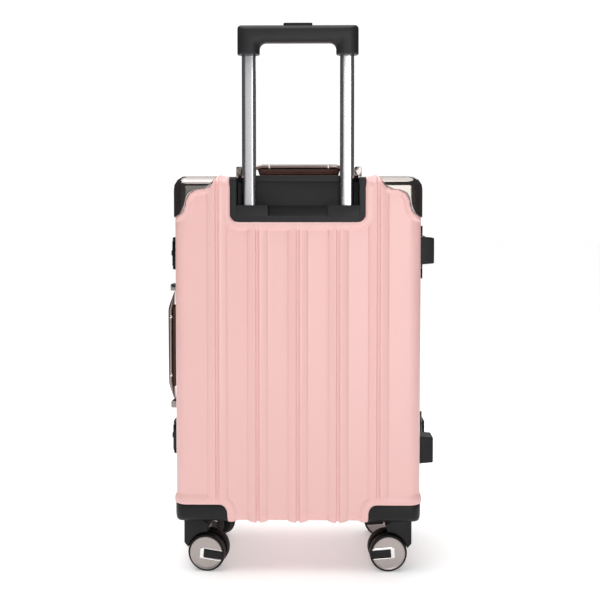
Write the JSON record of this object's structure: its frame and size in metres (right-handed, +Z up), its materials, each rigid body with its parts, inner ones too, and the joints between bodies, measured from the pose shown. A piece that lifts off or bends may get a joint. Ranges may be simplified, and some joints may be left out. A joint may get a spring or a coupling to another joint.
{
  "type": "hard shell suitcase on wheels",
  "caption": "Ribbed hard shell suitcase with a metal frame, hinged lid, telescopic pull handle, sprung latches, carry handles and swivelling twin-wheel casters.",
  "frame": {"origin": "on the floor under the middle of the case's bounding box", "axes": "+Z up, -Y towards the trolley side that faces the person pulling it, +X towards the hinge side"},
  "size_m": [0.3865, 0.2198, 0.7644],
  "materials": {
    "shell_pink": "satin polycarbonate",
    "frame_metal": "anodised",
    "guard_chrome": "gunmetal chrome",
    "tube_metal": "bright anodised",
    "black_plastic": "fine grain",
    "grip_plastic": "fine grain",
    "wheel_tyre": "polyurethane tread with satin metal disc",
    "steel": "zinc plated",
    "latch_metal": "black",
    "leather_brown": "smooth",
    "lining_cloth": "woven lining",
    "webbing": "elastic webbing",
    "seal_rubber": "soft"
  },
  "bodies": {
    "back_half": {"back_shell": "shell_pink", "back_frame": "frame_metal", "back_lining": "lining_cloth", "back_corner_guard_left": "guard_chrome", "back_corner_guard_right": "guard_chrome", "back_wheel_housing_left": "black_plastic", "back_wheel_housing_right": "black_plastic", "trolley_bezel": "black_plastic", "outer_tubes": "tube_metal", "tube_foot_bracket": "black_plastic", "back_hinge_leaves": "steel", "back_side_feet": "black_plastic", "lock_bodies": "latch_metal", "top_handle_brackets": "guard_chrome", "side_handle_brackets": "guard_chrome", "packing_straps": "webbing", "strap_buckle": "black_plastic", "back_rivets": "steel"},
    "lid": {"front_shell": "shell_pink", "front_frame": "frame_metal", "frame_seal": "seal_rubber", "front_lining": "lining_cloth", "lid_pocket": "lining_cloth", "front_corner_guard_left": "guard_chrome", "front_corner_guard_right": "guard_chrome", "front_wheel_housing_left": "black_plastic", "front_wheel_housing_right": "black_plastic", "front_hinge_leaves": "steel", "front_side_feet": "black_plastic", "lock_keepers": "latch_metal", "front_rivets": "steel"},
    "mid_stage": {"mid_tubes": "tube_metal"},
    "pull_handle": {"inner_tubes": "tube_metal", "tube_lock_blocks": "black_plastic", "grip_rear_half": "grip_plastic", "grip_front_half": "grip_plastic"},
    "release": {"release_button": "grip_plastic", "pull_rods": "steel"},
    "top_handle": {"top_handle_bar": "guard_chrome", "top_handle_leather": "leather_brown"},
    "side_handle": {"side_handle_bar": "guard_chrome", "side_handle_leather": "leather_brown"},
    "upper_hasp": {"upper_latch_hasp": "latch_metal"},
    "lower_hasp": {"lower_latch_hasp": "latch_metal"},
    "upper_knob": {"upper_latch_knob": "latch_metal"},
    "lower_knob": {"lower_latch_knob": "latch_metal"},
    "back_left_swivel": {"back_left_fork": "black_plastic"},
    "back_left_rear_wheel": {"back_left_rear_wheel": "wheel_tyre"},
    "back_left_front_wheel": {"back_left_front_wheel": "wheel_tyre"},
    "back_right_swivel": {"back_right_fork": "black_plastic"},
    "back_right_rear_wheel": {"back_right_rear_wheel": "wheel_tyre"},
    "back_right_front_wheel": {"back_right_front_wheel": "wheel_tyre"},
    "front_left_swivel": {"front_left_fork": "black_plastic"},
    "front_left_rear_wheel": {"front_left_rear_wheel": "wheel_tyre"},
    "front_left_front_wheel": {"front_left_front_wheel": "wheel_tyre"},
    "front_right_swivel": {"front_right_fork": "black_plastic"},
    "front_right_rear_wheel": {"front_right_rear_wheel": "wheel_tyre"},
    "front_right_front_wheel": {"front_right_front_wheel": "wheel_tyre"}
  },
  "joints": [
    {"name": "lid_hinge", "type": "hinge", "parent": "back_half", "child": "lid", "pos_m": [0.179, 0, 0.307], "axis": [0, 0, -1], "range_deg": [0, 105]},
    {"name": "mid_tube_slide", "type": "slide", "parent": "back_half", "child": "mid_stage", "axis": [0, 0, 1], "range_m": [0, 0.22]},
    {"name": "pull_handle_slide", "type": "slide", "parent": "mid_stage", "child": "pull_handle", "axis": [0, 0, 1], "range_m": [-0.207, 0]},
    {"name": "release_press", "type": "slide", "parent": "pull_handle", "child": "release", "axis": [0, 0, 1], "range_m": [-0.0025, 0], "stiffness_N_per_m": 1500, "springref_m": 0.001},
    {"name": "top_handle_lift", "type": "slide", "parent": "back_half", "child": "top_handle", "axis": [0, 0, 1], "range_m": [0, 0.005]},
    {"name": "side_handle_lift", "type": "slide", "parent": "back_half", "child": "side_handle", "axis": [-1, 0, 0], "range_m": [0, 0.005]},
    {"name": "upper_hasp_hinge", "type": "hinge", "parent": "back_half", "child": "upper_hasp", "pos_m": [-0.1815, -0.014, 0.4434], "axis": [0, 0, 1], "range_deg": [0, 110]},
    {"name": "upper_knob_press", "type": "slide", "parent": "upper_hasp", "child": "upper_knob", "axis": [1, 0, 0], "range_m": [0, 0.002], "stiffness_N_per_m": 400, "springref_m": -0.0005},
    {"name": "lower_hasp_hinge", "type": "hinge", "parent": "back_half", "child": "lower_hasp", "pos_m": [-0.1815, -0.014, 0.1712], "axis": [0, 0, 1], "range_deg": [0, 110]},
    {"name": "lower_knob_press", "type": "slide", "parent": "lower_hasp", "child": "lower_knob", "axis": [1, 0, 0], "range_m": [0, 0.002], "stiffness_N_per_m": 400, "springref_m": -0.0005},
    {"name": "back_left_swivel_turn", "type": "hinge", "parent": "back_half", "child": "back_left_swivel", "pos_m": [-0.148, -0.073, 0.074], "axis": [0, 0, 1], "continuous": true},
    {"name": "back_left_rear_roll", "type": "hinge", "parent": "back_left_swivel", "child": "back_left_rear_wheel", "pos_m": [-0.12621, -0.07606, 0.0263], "axis": [0.1392, 0.9903, 0], "continuous": true},
    {"name": "back_left_front_roll", "type": "hinge", "parent": "back_left_swivel", "child": "back_left_front_wheel", "pos_m": [-0.12621, -0.07606, 0.0263], "axis": [0.1392, 0.9903, 0], "continuous": true},
    {"name": "back_right_swivel_turn", "type": "hinge", "parent": "back_half", "child": "back_right_swivel", "pos_m": [0.148, -0.073, 0.074], "axis": [0, 0, 1], "continuous": true},
    {"name": "back_right_rear_roll", "type": "hinge", "parent": "back_right_swivel", "child": "back_right_rear_wheel", "pos_m": [0.12603, -0.07415, 0.0263], "axis": [-0.0523, 0.9986, 0], "continuous": true},
    {"name": "back_right_front_roll", "type": "hinge", "parent": "back_right_swivel", "child": "back_right_front_wheel", "pos_m": [0.12603, -0.07415, 0.0263], "axis": [-0.0523, 0.9986, 0], "continuous": true},
    {"name": "front_left_swivel_turn", "type": "hinge", "parent": "lid", "child": "front_left_swivel", "pos_m": [-0.148, 0.073, 0.074], "axis": [0, 0, 1], "continuous": true},
    {"name": "front_left_rear_roll", "type": "hinge", "parent": "front_left_swivel", "child": "front_left_rear_wheel", "pos_m": [-0.13115, 0.05886, 0.0263], "axis": [0.6428, 0.766, 0], "continuous": true},
    {"name": "front_left_front_roll", "type": "hinge", "parent": "front_left_swivel", "child": "front_left_front_wheel", "pos_m": [-0.13115, 0.05886, 0.0263], "axis": [0.6428, 0.766, 0], "continuous": true},
    {"name": "front_right_swivel_turn", "type": "hinge", "parent": "lid", "child": "front_right_swivel", "pos_m": [0.148, 0.073, 0.074], "axis": [0, 0, 1], "continuous": true},
    {"name": "front_right_rear_roll", "type": "hinge", "parent": "front_right_swivel", "child": "front_right_rear_wheel", "pos_m": [0.12601, 0.07223, 0.0263], "axis": [-0.0349, 0.9994, 0], "continuous": true},
    {"name": "front_right_front_roll", "type": "hinge", "parent": "front_right_swivel", "child": "front_right_front_wheel", "pos_m": [0.12601, 0.07223, 0.0263], "axis": [-0.0349, 0.9994, 0], "continuous": true}
  ]
}
